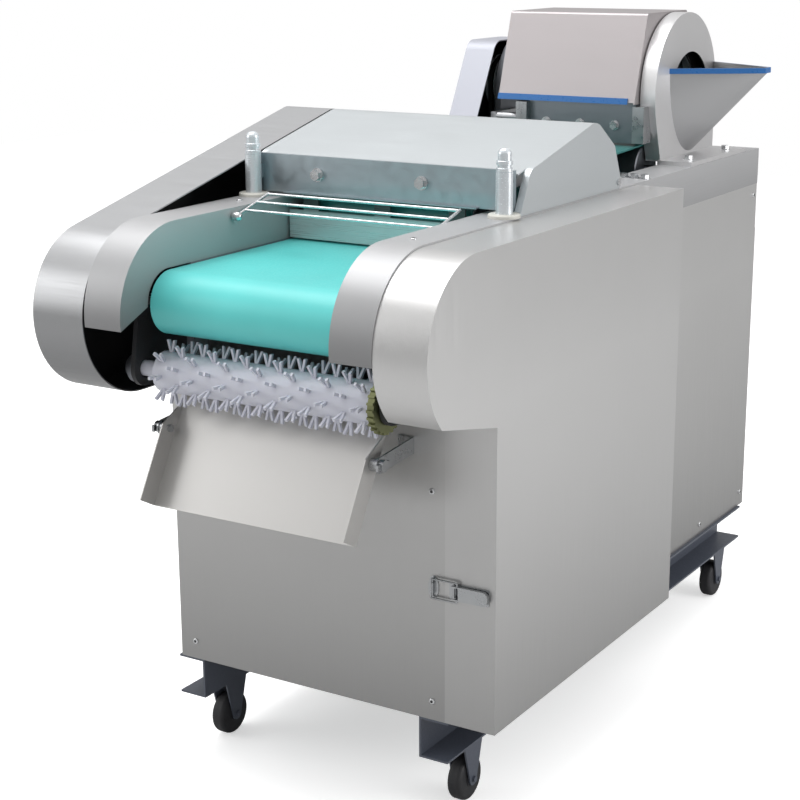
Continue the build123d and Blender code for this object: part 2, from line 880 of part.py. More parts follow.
def nose_arm():
    """A side plate under the beam's nose that carries the nose drum and the finger roller."""
    reach = bearing_radius + arm_margin
    hull = make_hull([
        *(Pos(drum_y, drum_height) * Circle(reach)).edges(),
        *(Pos(roller_y, roller_height) * Circle(reach)).edges(),
        Line((sheet, drum_height + reach), (sheet, front_panel_top + 10)),
    ])
    plate = prism(hull, arm_x, arm_x + arm_wall)
    for y, z in ((drum_y, drum_height), (roller_y, roller_height)):
        plate -= rod_x(y, z, shaft_radius + shaft_hole_gap, arm_x - 1, arm_x + arm_wall + 1)
    return plate


def rear_hanger():
    """A plate hung from the beam that carries the rear drum."""
    plate = block((beam_inner_x, hanger_end),
                  (rear_drum_y - hanger_half_width, rear_drum_y + hanger_half_width),
                  (drum_height - hanger_reach, beam_bottom))
    hole = shaft_radius + shaft_hole_gap
    return plate - rod_x(rear_drum_y, drum_height, hole, beam_inner_x - 1, hanger_end + 1)


def drive_plate():
    """A plate on the sill that carries the crankshaft."""
    return block((crank_half_length, crank_half_length + arm_wall),
                 (post_y - hanger_half_width, post_y + hanger_half_width),
                 (panel_bottom + tube_size, crank_height + hanger_reach))


def finger_fork():
    """One forked finger in the plane of the roller's axis, drawn as (x, radius)."""
    root = roller_core_radius - 3
    spread, half = finger_spread, finger_width / 2
    tine = Polyline((-half * 0.6, root), (half, root), (spread + half, roller_tip_radius),
                    (spread - half * 0.6, roller_tip_radius), close=True)
    arm = make_face(tine)
    return arm + mirror(arm, Plane.YZ)


def finger_roller():
    """A nylon roller: rows of forked fingers round a core, each row turned from its neighbour."""
    pitch = 2 * roller_half_length / finger_rows
    left, right = roller_shift - roller_half_length, roller_shift + roller_half_length
    core = rod_x(roller_y, roller_height, roller_core_radius, left, right)
    fork_solid = extrude(Plane.XZ.offset(-finger_thickness / 2) * finger_fork(), amount=finger_thickness)
    fingers = []
    for row in range(finger_rows):
        x = left + (row + 0.5) * pitch
        for step in range(finger_count):
            turn = (step + (row % 2) / 2) * 360 / finger_count
            fingers.append(Pos(x, roller_y, roller_height) * Rot(turn, 0, 0) * fork_solid)
    shaft = rod_x(roller_y, roller_height, shaft_radius, -shaft_end, shaft_end)
    return core + shaft + fingers


def roller_gear():
    """The disc on the roller's right end, between the roller and the arm."""
    x = arm_x - gear_width - 2
    teeth = PolarLocations(gear_radius, gear_teeth) * Rectangle(tooth_height, tooth_width)
    face = Circle(gear_radius) + teeth - Circle(shaft_radius)
    return prism(Pos(roller_y, roller_height) * face, x, x + gear_width)


def chute_point(up, out):
    """A point in the chute's side view: a way up its floor and a way out from it."""
    y = chute_top_y - chute_bottom_y
    z = chute_top_height - chute_bottom_height
    length = math.hypot(y, z)
    along = (y / length, z / length)
    return (chute_bottom_y + up * along[0] - out * along[1],
            chute_bottom_height + up * along[1] + out * along[0])


def chute_length():
    return math.hypot(chute_top_y - chute_bottom_y, chute_top_height - chute_bottom_height)


def chute_pivot():
    return chute_point(chute_pivot_up, chute_pivot_out)


def chute():
    """A tilted sheet with turned-up sides that hold its two pivot bolts."""
    length = chute_length()
    floor = [chute_point(*at) for at in ((0, 0), (length, 0), (length, sheet), (0, sheet))]
    end = length - chute_flange_end
    side = [chute_point(*at) for at in ((0, 0), (0, chute_flange),
                                        (chute_flange_length, chute_flange - chute_flange_taper),
                                        (end, sheet), (end, 0))]
    plate = prism(make_face(Polyline(*floor, close=True)), -chute_half_width, chute_half_width)
    flange = prism(make_face(Polyline(*side, close=True)), chute_half_width - sheet, chute_half_width)
    y, z = chute_pivot()
    flange -= rod_x(y, z, chute_pin_radius + running_gap, chute_half_width - 5, chute_half_width + 5)
    return plate + flange + mirrored(flange)


def chute_bracket():
    """An arm from the front panel beside the chute with a sleeve for the chute's pivot bolt."""
    y, z = chute_pivot()
    strap = make_hull([
        *(Pos(y, z) * Circle(chute_eye_radius)).edges(),
        Line((0, z + bracket_foot_up), (0, z - bracket_foot_down)),
    ])
    outside = chute_arm_x + chute_arm_wall
    arm = prism(strap, chute_arm_x, outside)
    foot = block((chute_arm_x - bracket_foot_width, outside), (-chute_arm_wall, 0),
                 (z - bracket_foot_down, z + bracket_foot_up))
    sleeve = rod_x(y, z, chute_pin_radius + chute_sleeve_wall, chute_half_width + panel_gap, chute_arm_x)
    return arm + foot + sleeve - rod_x(y, z, chute_pin_radius, 0, outside + 1)


def chute_bolt():
    """A wing bolt through the bracket's sleeve into the chute's side."""
    y, z = chute_pivot()
    head_x = chute_arm_x + chute_arm_wall
    pin = rod_x(y, z, chute_pin_radius, chute_half_width - chute_pin_radius, head_x + 1)
    head = rod_x(y, z, chute_pin_radius * 1.5, head_x, head_x + wing_head)
    wing = block((head_x + wing_head * 0.25, head_x + wing_head * 0.75),
                 (y - wing_half_length, y + wing_half_length), (z - wing_half_height, z + wing_half_height))
    return pin + head + wing


def wire_guard():
    """Rods between two side bars that turn on pivots in the beams."""
    lift = math.radians(guard_rise_deg)
    along = Vector(0, math.cos(lift), math.sin(lift))
    pivot = Vector(0, guard_pivot_y, guard_pivot_height)
    x = guard_half_width
    eye = rod_x(pivot.Y, pivot.Z, pivot_radius + 3, x - wire_radius - 0.6, x + wire_radius + 0.6)
    near = pivot + along * (pivot_radius + 1)
    length = guard_reach - pivot_radius - 1
    start = Vector(x, near.Y, near.Z)
    bar = Plane(origin=start, z_dir=along) * Pos(0, 0, length / 2) * Cylinder(wire_radius, length)
    side = eye + bar - rod_x(pivot.Y, pivot.Z, pivot_radius + running_gap, x - 9, x + 9)
    frame = [side, mirrored(side)]
    for rod in range(guard_rods):
        at = pivot + along * (guard_reach - rod * guard_rod_step - wire_radius)
        frame.append(rod_x(at.Y, at.Z, wire_radius * 0.9, -x, x))
    return Part() + frame


def guard_pivot():
    """A shoulder bolt from the beam's inner face through the guard's eye."""
    inner = guard_half_width - wire_radius - 1
    pin = rod_x(guard_pivot_y, guard_pivot_height, pivot_radius, inner, beam_inner_x)
    head = Pos(inner, guard_pivot_y, guard_pivot_height) * Sphere(pivot_radius * 1.9)
    head -= block((inner, inner + 40), (guard_pivot_y - 40, guard_pivot_y + 40), (0, deck_height * 2))
    return pin + head


def arch_face(radius, start_y, end_y):
    """An arched side plate: round top about the spindle, straight to its foot."""
    hull = make_hull([
        *(Pos(slicer_y, slicer_height) * Circle(radius)).edges(),
        Line((start_y, foot_top), (end_y, foot_top)),
    ])
    above = deck_height
    return hull & (Pos(slicer_y, foot_top + above / 2) * Rectangle(2 * above, above))


def feed_face():
    """The feed hole: round above the hopper's rim, and no wider than the hopper's mouth below it."""
    round_hole = Pos(feed_y, feed_height) * Circle(feed_radius)
    above = Pos(hopper_y, hopper_rim_height + feed_radius) * Rectangle(4 * feed_radius, 2 * feed_radius)
    half_mouth, depth = hopper_half_mouth - hopper_wall, hopper_depth - hopper_wall
    mouth = half_ellipse(half_mouth, depth, hopper_y, hopper_rim_height)
    return round_hole & (above + mouth)


def disc_housing():
    """A drum-shaped casing with feed holes in both faces, standing on its foot plate."""
    outer = arch_face(housing_radius, housing_foot_front, housing_foot_rear)
    start = housing_face_x - housing_depth
    shell = prism(outer, start, housing_face_x)
    shell -= prism(inset(outer, housing_wall), start + housing_wall, housing_face_x - housing_wall)
    shell -= prism(feed_face(), start - 1, housing_face_x + 1)
    foot = block((beam_inner_x - 1, body_half_width - 2), (foot_front, foot_rear),
                 (deck_height, deck_height + foot_wall))
    sole = block((start, beam_inner_x), (housing_foot_front, housing_foot_rear),
                 (foot_top - sole_wall, foot_top))
    holes = [rod_z(foot_bolt_x, y, head_bolt_radius + 0.5, deck_height - 1, foot_top + 1)
             for y in (foot_front + foot_bolt_inset, foot_rear - foot_bolt_inset)]
    return shell + foot + sole - holes


def bearing_plate():
    """The left side of the slicing head: an arched plate on a foot that spans the deck."""
    face = arch_face(plate_radius, slicer_y - plate_foot_reach, slicer_y + plate_foot_reach)
    face += make_hull([*(Pos(box_hinge_y, box_hinge_height) * Circle(2 * box_pin_radius)).edges(),
                       *(Pos(slicer_y, slicer_height) * Circle(plate_radius / 2)).edges()])
    face -= Pos(slicer_y, slicer_height) * Circle(spindle_radius + 2)
    plate = prism(face, plate_x - plate_wall, plate_x)
    foot = block((-body_half_width + 2, plate_x), (foot_front, foot_rear),
                 (deck_height, deck_height + foot_wall))
    pin = rod_x(box_hinge_y, box_hinge_height, box_pin_radius, plate_x - plate_wall - 1, plate_x + 1)
    return plate + foot - vbelt_slot() - pin


def slicing_disc():
    """A disc with swept throat slots and a raised blade along each."""
    disc = Circle(disc_radius)
    slot = Rot(0, 0, slot_turn) * SlotOverall(slot_length, slot_width)
    slots = PolarLocations(disc_radius * slot_share, slot_count) * slot
    face = Pos(slicer_y, slicer_height) * (disc - slots)
    body = prism(face, disc_x - disc_wall, disc_x)
    blade = Pos(0, knife_width * 0.9) * Rot(0, 0, slicer_knife_turn) * Rectangle(slot_length, knife_width)
    blades = Sketch() + PolarLocations(disc_radius * slot_share, slot_count) * blade
    body += prism(Pos(slicer_y, slicer_height) * blades, disc_x - 0.01, disc_x + knife_wall)
    back = disc_x - disc_wall
    boss = rod_x(slicer_y, slicer_height, spindle_radius * 2, back - disc_boss_length, back)
    cap = rod_x(slicer_y, slicer_height, spindle_radius * 1.2, disc_x, disc_x + disc_cap_height)
    bore = rod_x(slicer_y, slicer_height, spindle_radius, back - 2 * disc_boss_length, disc_x - spindle_short)
    return body + boss + cap - bore


def spindle():
    """The slicer's shaft with its V-groove pulley."""
    start = slicer_pulley_x - pulley_width / 2 - axle_overhang
    shaft = rod_x(slicer_y, slicer_height, spindle_radius, start, disc_x - spindle_short)
    return shaft + grooved_pulley(slicer_y, slicer_height, slicer_pulley_radius, slicer_pulley_x)


def spindle_bearing():
    x = plate_x
    plate = rod_x(slicer_y, slicer_height, bearing_radius + 10, x, x + bearing_depth)
    hub = rod_x(slicer_y, slicer_height, bearing_radius, x, x + bearing_depth * 1.8)
    return plate + hub - rod_x(slicer_y, slicer_height, spindle_radius + running_gap, x - 1, x + 60)


def lip_plate():
    return block((lip_left_x, lip_right_x), (lip_front_y, lip_front_y + lip_wall),
                 (lip_bottom, box_bottom + lip_lap))


def lip_blocks():
    """End blocks of the lip plate on a rod that runs between the head's two sides."""
    rod_y_at = lip_front_y + lip_wall + 2 * tie_radius
    rod_z_at = (lip_bottom + box_bottom) / 2
    tie = rod_x(rod_y_at, rod_z_at, tie_radius, plate_x, housing_face_x - housing_depth)
    for x in (lip_left_x - block_width, lip_right_x):
        tie += block((x, x + block_width), (block_front_y, rod_y_at),
                     (lip_bottom + block_low_gap, box_bottom - block_high_gap))
    tie += block((plate_x, plate_x + plate_wall), (rod_y_at - tie_radius, slicer_y - spindle_radius * 3),
                 (rod_z_at - tie_radius, rod_z_at + tie_radius))
    inside = arch_face(housing_radius, housing_foot_front, housing_foot_rear)
    return tie - prism(inside, housing_face_x - housing_depth, housing_face_x)


def box_face():
    hull = Polyline((box_front_y, box_bottom), (box_top_front_y, box_top), (box_top_rear_y, box_top),
                    (box_rear_y, box_bottom), close=True)
    face = make_face(hull)
    tops = face.vertices().sort_by(Axis.Y)[-2:]
    return fillet(tops, box_corner)


def discharge_box():
    """A lift-up box over the slicing disc, open below, notched for the spindle and the feed."""
    outer = box_face()
    shell = prism(outer, box_left_x, box_right_x)
    shell -= prism(inset(outer, sheet), box_left_x + sheet, box_right_x - sheet)
    shell -= block((box_left_x + sheet, box_right_x - sheet), (box_front_y - 5, box_rear_y + 5),
                   (box_bottom - 1, box_bottom + sheet + 1))
    reach = bearing_radius + spindle_notch_gap
    notch = block((box_left_x - 1, box_left_x + sheet + 1),
                  (slicer_y - reach, slicer_y + reach), (box_bottom - 1, slicer_height + reach))
    shell -= notch
    shell -= rod_x(feed_y, feed_height, feed_radius, box_right_x - sheet - 1, box_right_x + 1)
    return shell - rod_x(box_hinge_y, box_hinge_height, box_pin_radius + running_gap, box_left_x - 1,
                         box_right_x + 1)


def box_pins():
    """Two pivot pins for the box, in the housing's face and in the bearing plate's lug."""
    y, z = box_hinge_y, box_hinge_height
    left = rod_x(y, z, box_pin_radius, plate_x - plate_wall, box_left_x + sheet + 3)
    right = rod_x(y, z, box_pin_radius, box_right_x - sheet - 3, housing_face_x - housing_depth)
    return group([left, right])


def box_trim():
    """The blue edge strip along the box's lower front edge."""
    lean = (box_top_front_y - box_front_y) / (box_top - box_bottom)
    top_y, top = box_front_y + trim_height * lean, box_bottom + trim_height
    outline = Polyline((box_front_y, box_bottom), (top_y, top), (top_y - trim_wall, top),
                       (box_front_y - trim_wall, box_bottom), close=True)
    return prism(make_face(outline), box_left_x, box_right_x - trim_end_gap)


def half_ellipse(half_width, depth, centre_y, rim):
    """The lower half of an ellipse under the hopper's rim, drawn as (y, z)."""
    lower = Pos(centre_y, rim) * Ellipse(half_width, depth)
    below = 2 * (half_width + depth)
    return lower & (Pos(centre_y, rim - below / 2) * Rectangle(below, below))


def hopper():
    """A half cone of sheet from the housing's face out to a pointed lip, open on top."""
    start = housing_face_x

    def cone(grow, near, far):
        big = half_ellipse(hopper_half_mouth + grow, hopper_depth + grow, hopper_y, hopper_rim_height)
        small = half_ellipse(hopper_tip_half + grow, hopper_tip_half + grow, hopper_y, hopper_rim_height)
        return loft([Plane.YZ.offset(near) * big, Plane.YZ.offset(far) * small], ruled=True)

    inner = cone(-hopper_wall, start - 0.5, hopper_tip_x - hopper_wall)
    return cone(0, start, hopper_tip_x) - inner


def hopper_rim():
    """The blue edge strip round the hopper's mouth, in one fold at the lip."""
    start = housing_face_x

    def strip(grow):
        mouth = hopper_half_mouth + grow
        tip = hopper_tip_half + grow
        return make_face(Polyline((start, hopper_y - mouth), (hopper_tip_x + grow, hopper_y - tip),
                                  (hopper_tip_x + grow, hopper_y + tip), (start, hopper_y + mouth),
                                  close=True))

    band = strip(rim_wall) - strip(0)
    return Pos(0, 0, hopper_rim_height - rim_height) * extrude(band, amount=rim_height, dir=(0, 0, 1))


def belt_guard():
    """The tall guard over the slicer's drive belt, open towards the discharge box."""
    hull = Polyline((guard_foot_front_y + foot_wall * guard_foot_lean, foot_top),
                    (guard_top_front_y - guard_front_lean, guard_top), (guard_top_rear_y, guard_top),
                    (guard_foot_rear_y, foot_top), close=True)
    face = make_face(hull)
    tops = face.vertices().sort_by(Axis.Y)[-2:]
    face = fillet(tops, guard_corner)
    shell = prism(face, guard_left_x, guard_right_x)
    return shell - prism(inset(face, sheet), guard_left_x + sheet, guard_right_x + 1) - vbelt_slot()


def latch_base():
    """The latch's base with its ears and pin on the cover, and its strike on the front panel."""
    half = latch_base_height / 2
    outside = lever_height / 2
    inside = outside - latch_wall - ear_gap
    base = block((latch_pivot_x - latch_base_back, latch_pivot_x + latch_base_length), (-latch_wall, 0),
                 (latch_height - half, latch_height + half))
    pin = rod_z(latch_pivot_x, latch_pin_y, latch_pin_radius, latch_height - outside - ear_gap,
                latch_height + outside + ear_gap)
    ear = block((latch_pivot_x - ear_half_width, latch_pivot_x + ear_half_width),
                (latch_wall + ear_gap - latch_stand, -latch_wall),
                (latch_height - inside, latch_height - inside + latch_wall)) - pin
    oval = extrude(Ellipse(strike_half_width, strike_half_height), amount=latch_wall)
    plate = Pos(strike_x, 0, latch_height) * Rot(90, 0, 0) * oval
    ridge = block((strike_x, strike_x + ridge_width), (latch_pin_y - 1, -latch_wall),
                  (latch_height - strike_half_width, latch_height + strike_half_width))
    return group([base, pin, ear, mirror(ear, Plane.XY.offset(latch_height)), plate, ridge])


def latch_lever():
    """A channel lever that swings out about its pin, with its web cut back clear of the base's ears."""
    start = latch_pivot_x - lever_back
    front, back = -latch_stand, latch_pin_y + latch_pin_depth
    half = lever_height / 2
    body = block((start, start + lever_length), (front, back), (latch_height - half, latch_height + half))
    tip = body.edges().filter_by(Axis.Y).sort_by(Axis.X)[-2:]
    body = fillet(tip, half * 0.8)
    body -= block((start - 1, start + lever_length - half), (front + latch_wall, back + 1),
                  (latch_height - half + latch_wall, latch_height + half - latch_wall))
    body -= block((start - 1, latch_pivot_x + lever_window), (front - 1, back),
                  (latch_height - half + latch_wall, latch_height + half - latch_wall))
    for x, radius in ((latch_pivot_x, latch_pin_radius), (bail_pin_x, bail_radius)):
        body -= rod_z(x, latch_pin_y, radius + running_gap, latch_height - 2 * half, latch_height + 2 * half)
    return body


def latch_bail():
    """The wire bail from the lever's flanges round the strike's ridge."""
    half = bail_width / 2
    hook = lever_height / 2 - latch_wall - ear_gap / 2
    far = strike_x - bail_radius - panel_gap
    near = bail_pin_x
    y = latch_pin_y
    low, high = latch_height - half, latch_height + half
    path = FilletPolyline((near, y, latch_height + hook), (near, y, high), (far, y, high), (far, y, low),
                          (near, y, low), (near, y, latch_height - hook), radius=bail_bend)
    return sweep(Plane(origin=path @ 0, z_dir=path % 0) * Circle(bail_radius), path=path)


def panel_screws():
    """Pan-head screws on the panels."""
    left, right = front_screw_left_inset - body_half_width, body_half_width - front_screw_inset
    low, high = panel_bottom + front_screw_low, panel_bottom + front_screw_high
    spots = [Plane(origin=(x, 0, z), z_dir=(0, -1, 0)) for x, z in ((left, low), (right, low), (right, high))]
    end_y = body_length - side_screw_inset
    side_low = panel_bottom + side_screw_inset
    sides = [(end_y, beam_bottom - side_screw_inset), (end_y, panel_bottom + side_screw_low),
             (side_screw_y, side_low), (cover_length + side_screw_lead, side_low)]
    for side in (-1, 1):
        spots += [Plane(origin=(side * body_half_width, y, z), z_dir=(side, 0, 0)) for y, z in sides]
    for x, y in ((-deck_screw_x, deck_screw_left_y), (deck_screw_x, deck_screw_right_y)):
        spots.append(Plane(origin=(x, y, deck_height), z_dir=(0, 0, 1)))
    heads = []
    for plane in spots:
        head = extrude(plane * Circle(screw_radius), amount=screw_height)
        rim = head.edges().filter_by(GeomType.CIRCLE).sort_by_distance(plane.origin)[-1]
        heads.append(fillet(rim, screw_height * 0.7))
    return group(heads)


def head_bolts():
    """Hexagon bolts of the slicing head, its lip plate and the deck."""
    planes = [Plane(origin=(lip_bolt_first_x + step * lip_bolt_pitch, lip_front_y, lip_bottom + lip_bolt_up),
                    z_dir=(0, -1, 0)) for step in range(3)]
    planes += [Plane(origin=(foot_bolt_x, y, foot_top), z_dir=(0, 0, 1))
               for y in (foot_front + foot_bolt_inset, foot_rear - foot_bolt_inset)]
    planes += [Plane(origin=(deck_bolt_first_x + step * deck_bolt_pitch, deck_bolt_y, deck_height),
                     z_dir=(0, 0, 1)) for step in range(3)]
    return group([hex_bolt(head_bolt_radius, head_bolt_head, plane) for plane in planes])


parts["base_rails"] = frame_rails()
parts["inner_frame"] = inner_frame()
parts["front_panel"] = front_panel()
parts["right_panel"] = side_panel()
parts["left_panel"] = mirrored(side_panel())
parts["rear_panel"] = rear_panel()
parts["side_beam_right"] = side_beam()
parts["side_beam_left"] = mirrored(side_beam()) - vbelt_slot()
parts["right_cover"] = right_cover()
parts["left_cover"] = left_cover()
parts["panel_screws"] = panel_screws()

parts["wheel_forks"] = both_sides(group([fork(front_wheel_y), fork(rear_wheel_y)]))
for side, x in (("left", -wheel_x), ("right", wheel_x)):
    for end, y in (("front", front_wheel_y), ("rear", rear_wheel_y)):
        parts[f"wheel_{end}_{side}"] = wheel(x, y)

parts["conveyor_belt"] = belt_loop(drum_y, drum_height, belt_radius, rear_drum_y, drum_height, belt_radius,
                                   belt_half_width)
parts["nose_drum"] = drum(drum_y, drum_height, belt_radius, belt_half_width, shaft_end)
parts["rear_drum"] = drum(rear_drum_y, drum_height, belt_radius, belt_half_width,
                          hanger_end + bearing_depth)

bed_top = belt_top - belt_thickness - bed_gap
bed_ends = (drum_y + belt_radius + 5, rear_drum_y - belt_radius - 5)
bed = block((-beam_inner_x, beam_inner_x), bed_ends, (bed_top - slider_wall, bed_top))
bed_side = block((beam_inner_x, beam_inner_x + hanger_wall), bed_ends, (bed_top - slider_wall, beam_bottom))
parts["belt_bed"] = bed + bed_side + mirrored(bed_side)
parts["press_belt"] = belt_loop(press_front_y, press_axis(press_front_radius), press_front_radius,
                                press_rear_y, press_axis(press_rear_radius), press_rear_radius,
                                press_half_width)
parts["press_front_roller"] = drum(press_front_y, press_axis(press_front_radius), press_front_radius,
                                   press_half_width, press_shaft_end, press_shaft_radius)
parts["press_rear_roller"] = drum(press_rear_y, press_axis(press_rear_radius), press_rear_radius,
                                  press_half_width, press_shaft_end, press_shaft_radius)
studs = [rod_x(y, z, stud_radius, pod_x - pod_width + sheet, -body_half_width)
         for y, z in ((0, pod_nose_height()), (stud_first_y, stud_height), (stud_last_y, stud_height))]
stands = [motor_stand(0, motor_y, motor_height), motor_stand(slicer_motor_x, slicer_y, slicer_motor_height)]
carriers = [both_sides(plate) for plate in (nose_arm(), rear_hanger(), drive_plate())]
parts["inner_brackets"] = group(studs + stands + carriers)

bearings = [bearing(arm_x + arm_wall, y, z, 1) for y, z in ((drum_y, drum_height), (roller_y, roller_height))]
bearings += [bearing(beam_inner_x + sheet, y, press_axis(radius), 1, press_shaft_radius, press_bearing_radius)
             for y, radius in ((press_front_y, press_front_radius), (press_rear_y, press_rear_radius))]
bearings += [bearing(hanger_end, rear_drum_y, drum_height, 1)]
bearings += [bearing(crank_half_length, post_y, crank_height, -1)]
parts["shaft_bearings"] = group([both_sides(group(bearings)), spindle_bearing()])

parts["finger_roller"] = finger_roller()
parts["roller_gear"] = roller_gear()
parts["chute"] = chute()
parts["chute_brackets"] = both_sides(chute_bracket())
parts["chute_bolts"] = both_sides(chute_bolt())
parts["wire_guard"] = wire_guard()
parts["guard_pivots"] = both_sides(guard_pivot())

parts["guide_bushes"] = both_sides(guide_bush())
parts["guide_posts"] = both_sides(guide_post())
parts["post_caps"] = both_sides(post_cap())
parts["knife_beam"] = knife_beam()
parts["knife_blade"] = knife_blade()
parts["gate_bolts"] = gate_bolts()
parts["crosshead"] = crosshead()
parts["crankshaft"] = crankshaft()
parts["motors"] = group([motor(0, motor_y, motor_height, drive_pulley_x),
                         motor(slicer_motor_x, slicer_y, slicer_motor_height, slicer_pulley_x)])
parts["drive_belts"] = group([
    v_belt(drive_pulley_x, (post_y, crank_height), pulley_radius,
           (motor_y, motor_height), small_pulley_radius),
    v_belt(slicer_pulley_x, (slicer_y, slicer_height), slicer_pulley_radius,
           (slicer_y, slicer_motor_height), small_pulley_radius),
])

parts["hood"] = hood()
parts["hood_hinges"] = both_sides(hood_hinge())

parts["disc_housing"] = disc_housing()
parts["bearing_plate"] = bearing_plate()
parts["slicing_disc"] = slicing_disc()
parts["spindle"] = spindle()
parts["lip_plate"] = lip_plate()
parts["lip_blocks"] = lip_blocks()
parts["head_bolts"] = head_bolts()
parts["discharge_box"] = discharge_box()
parts["box_trim"] = box_trim()
parts["box_pins"] = box_pins()
parts["hopper"] = hopper()
parts["hopper_rim"] = hopper_rim()
parts["belt_guard"] = belt_guard()

parts["latch_base"] = latch_base()
parts["latch_lever"] = latch_lever()
parts["latch_bail"] = latch_bail()

# The origin is moved to the middle of the machine's footprint, on the floor.
bounds = group(parts.values()).bounding_box()
origin = Vector((bounds.min.X + bounds.max.X) / 2, (bounds.min.Y + bounds.max.Y) / 2, bounds.min.Z)
os.makedirs("parts", exist_ok=True)
for name, part in parts.items():
    export_step(Pos(-origin.X, -origin.Y, -origin.Z) * part, f"parts/{name}.step")
print("origin", origin, "size", bounds.size)
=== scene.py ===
# %% [markdown]
# # A vegetable cutting machine, dressed in Blender
# The CAD model gives every shape its place. This lesson gives it surfaces, small parts, light and a camera.
# The work goes from the large to the small: materials first, then the repeated pieces, then the studio.

import math

import bpy
from mathutils import Matrix, Vector


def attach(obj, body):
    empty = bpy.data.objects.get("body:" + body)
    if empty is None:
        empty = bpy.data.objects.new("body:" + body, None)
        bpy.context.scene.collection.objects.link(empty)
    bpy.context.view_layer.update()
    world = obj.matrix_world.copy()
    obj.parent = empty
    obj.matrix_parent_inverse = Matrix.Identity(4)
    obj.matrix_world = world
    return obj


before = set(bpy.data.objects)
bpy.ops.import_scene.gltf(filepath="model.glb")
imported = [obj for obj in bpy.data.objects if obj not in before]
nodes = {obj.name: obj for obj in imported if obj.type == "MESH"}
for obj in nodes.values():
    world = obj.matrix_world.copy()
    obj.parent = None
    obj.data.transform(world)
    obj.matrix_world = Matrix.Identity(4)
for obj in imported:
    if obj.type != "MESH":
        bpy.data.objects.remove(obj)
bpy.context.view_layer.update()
print("CAD nodes:", len(nodes))

# %% [markdown]
# ## A small tool for building materials
# A material is a graph of nodes. Typing each node and link by hand soon grows long, so a short class adds
# a node with its settings and joins it to others. All patterns use Object coordinates: these are metres
# in the machine's own frame, so a pattern stays on its piece when the piece moves.


# %%
# A material builder
class Graph:
    """Adds nodes to one material and links them."""

    def __init__(self, name):
        self.material = bpy.data.materials.new(name)
        self.material.use_nodes = True
        self.tree = self.material.node_tree
        self.shader = self.tree.nodes["Principled BSDF"]
        self.coordinates = self.add("ShaderNodeTexCoord")
        self.place = self.coordinates.outputs["Object"]

    def add(self, kind, inputs=None, **settings):
        node = self.tree.nodes.new(kind)
        for key, value in settings.items():
            setattr(node, key, value)
        for key, value in (inputs or {}).items():
            self.join(value, node.inputs[key])
        return node

    def join(self, value, socket):
        if isinstance(value, bpy.types.NodeSocket):
            self.tree.links.new(value, socket)
        else:
            socket.default_value = value

    def stretched(self, scale):
        """Object coordinates multiplied along each axis."""
        return self.add("ShaderNodeMapping", {"Vector": self.place, "Scale": scale}).outputs["Vector"]

    def noise(self, scale, detail=3.0, stretch=(1, 1, 1)):
        inputs = {"Vector": self.stretched(stretch), "Scale": scale, "Detail": detail}
        return self.add("ShaderNodeTexNoise", inputs).outputs["Fac"]

    def spread(self, factor, low, high, from_low=0.3, from_high=0.7):
        inputs = {"Value": factor, "From Min": from_low, "From Max": from_high}
        inputs.update({"To Min": low, "To Max": high})
        return self.add("ShaderNodeMapRange", inputs).outputs["Result"]

    def mix(self, factor, first, second):
        node = self.add("ShaderNodeMix", data_type="RGBA")
        self.join(factor, node.inputs["Factor"])
        self.join(first, node.inputs["A"])
        self.join(second, node.inputs["B"])
        return node.outputs["Result"]

    def blend(self, factor, first, second):
        """A number that goes from first to second with the factor."""
        inputs = {"Value": factor, "To Min": first, "To Max": second}
        return self.add("ShaderNodeMapRange", inputs).outputs["Result"]

    def faces_towards(self, point):
        """One where a face looks towards a point given in metres, zero where it looks away."""
        offset = self.add("ShaderNodeVectorMath", {0: self.place, 1: point}, operation="SUBTRACT").outputs[0]
        inputs = {0: self.coordinates.outputs["Normal"], 1: offset}
        dot = self.add("ShaderNodeVectorMath", inputs, operation="DOT_PRODUCT").outputs["Value"]
        return self.add("ShaderNodeMath", {0: dot, 1: 0.0}, operation="LESS_THAN").outputs[0]

    def bump(self, height, strength, distance=0.001):
        inputs = {"Height": height, "Strength": strength, "Distance": distance}
        self.join(self.add("ShaderNodeBump", inputs).outputs["Normal"], self.shader.inputs["Normal"])

    def finish(self, **sockets):
        for key, value in sockets.items():
            self.join(value, self.shader.inputs[key.replace("_", " ").title().replace("Ior", "IOR")])
        return self.material


def rgba(color):
    return (*color, 1.0)


def shade(color, factor):
    return rgba([min(1.0, part * factor) for part in color])


print("material builder ready")

# %% [markdown]
# ## Brushed steel
# Brushing leaves fine lines along one direction. The noise is squeezed hard across the lines and hardly at
# all along them. It changes the roughness more than the colour, which is what makes steel read as steel. A
# second, broad noise adds the faint clouding of a rolled sheet.


# %%
# Metals
grain = 900.0
cloud = 2.5
# near black, painted shade on the inner faces of bent covers
hollow_shade = (0.012, 0.013, 0.014)


